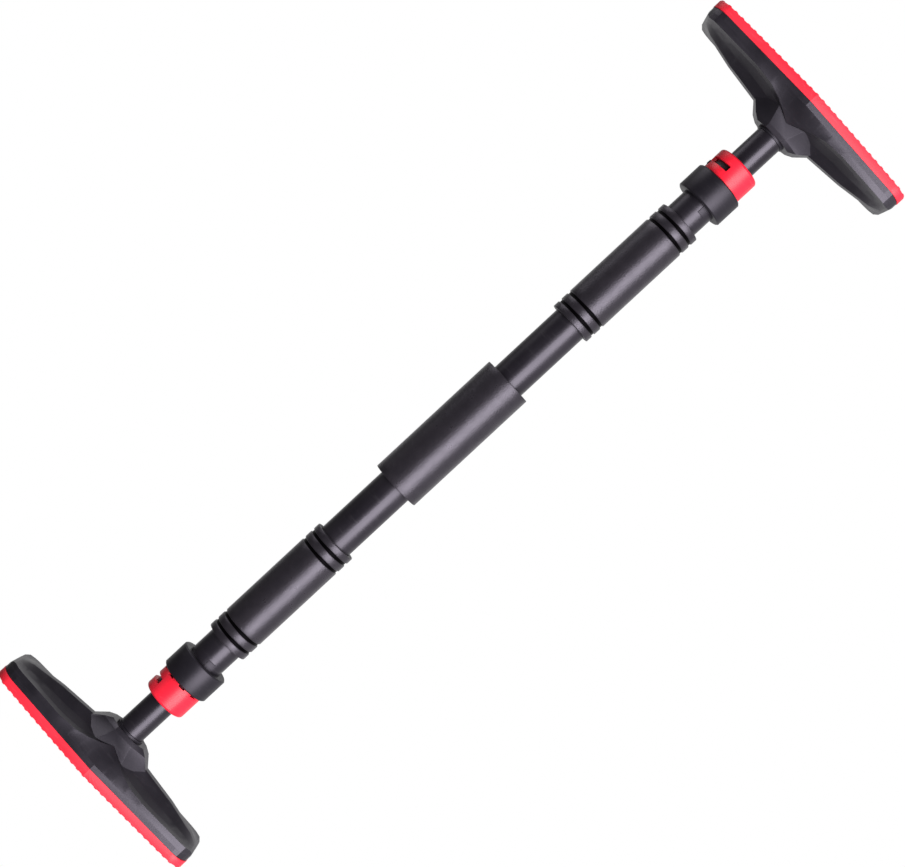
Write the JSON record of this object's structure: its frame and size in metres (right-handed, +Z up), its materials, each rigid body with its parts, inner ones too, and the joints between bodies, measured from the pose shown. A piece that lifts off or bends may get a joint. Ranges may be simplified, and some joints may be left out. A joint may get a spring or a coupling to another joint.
{
  "type": "doorway pull-up bar",
  "caption": "Telescoping doorway pull-up bar with foam grips, screw-out rods, red lock rings and wide padded feet that press on the door frame.",
  "frame": {"origin": "on the axis, midway between the two wall faces", "axes": "+X along the bar towards the right foot, +Z up along the feet, -Y towards the front"},
  "size_m": [0.805, 0.0768, 0.2182],
  "materials": {
    "black_painted_steel": "satin black enamel",
    "black_foam": "soft matt foam",
    "black_plastic": "satin moulded",
    "red_plastic": "semi-gloss moulded",
    "red_rubber": "matt rubber",
    "zinc_steel": "zinc plated",
    "black_rubber": "matt rubber",
    "white_nylon": "natural nylon"
  },
  "bodies": {
    "bar": {"main_tube": "black_painted_steel", "center_pad": "black_foam", "left_grip": "black_foam", "left_collar": "black_plastic", "left_collar_clip": "black_plastic", "left_lead_screw": "zinc_steel", "left_screw_anchor": "zinc_steel", "left_anchor_pin": "zinc_steel", "left_retaining_ring": "zinc_steel", "right_grip": "black_foam", "right_collar": "black_plastic", "right_collar_clip": "black_plastic", "right_lead_screw": "zinc_steel", "right_screw_anchor": "zinc_steel", "right_anchor_pin": "zinc_steel", "right_retaining_ring": "zinc_steel"},
    "left_bush": {"left_key_bush": "black_plastic", "left_detent_ring": "black_rubber"},
    "left_foot": {"left_rod": "black_painted_steel", "left_travel_nut": "zinc_steel", "left_nut_pins": "zinc_steel", "left_rod_glide": "white_nylon", "left_rod_plug": "zinc_steel", "left_rod_bolt": "zinc_steel", "left_hub_ring": "black_plastic", "left_foot_shell": "black_plastic", "left_foot_plate": "zinc_steel", "left_back_plate": "black_plastic", "left_foot_screws": "zinc_steel", "left_wall_pad": "red_rubber"},
    "left_lock": {"left_lock_ring": "red_plastic"},
    "right_bush": {"right_key_bush": "black_plastic", "right_detent_ring": "black_rubber"},
    "right_foot": {"right_rod": "black_painted_steel", "right_travel_nut": "zinc_steel", "right_nut_pins": "zinc_steel", "right_rod_glide": "white_nylon", "right_rod_plug": "zinc_steel", "right_rod_bolt": "zinc_steel", "right_hub_ring": "black_plastic", "right_foot_shell": "black_plastic", "right_foot_plate": "zinc_steel", "right_back_plate": "black_plastic", "right_foot_screws": "zinc_steel", "right_wall_pad": "red_rubber"},
    "right_lock": {"right_lock_ring": "red_plastic"}
  },
  "joints": [
    {"name": "left_turn", "type": "hinge", "parent": "bar", "child": "left_bush", "pos_m": [-0.3, 0, 0], "axis": [-1, 0, 0], "range_deg": [0, 10800]},
    {"name": "left_extend", "type": "slide", "parent": "left_bush", "child": "left_foot", "axis": [-1, 0, 0], "range_m": [0, 0.15]},
    {"name": "left_lock", "type": "slide", "parent": "left_bush", "child": "left_lock", "axis": [1, 0, 0], "range_m": [-0.0038, 0.0042]},
    {"name": "right_turn", "type": "hinge", "parent": "bar", "child": "right_bush", "pos_m": [0.3, 0, 0], "axis": [-1, 0, 0], "range_deg": [-360, 10440]},
    {"name": "right_extend", "type": "slide", "parent": "right_bush", "child": "right_foot", "axis": [1, 0, 0], "range_m": [-0.005, 0.145]},
    {"name": "right_lock", "type": "slide", "parent": "right_bush", "child": "right_lock", "axis": [-1, 0, 0], "range_m": [-0.0024, 0.0056]}
  ],
  "couplings": [
    {"joint": "left_extend", "follows": "left_turn", "m_per_rad": 0.00079577},
    {"joint": "right_extend", "follows": "right_turn", "m_per_rad": 0.00079577}
  ]
}
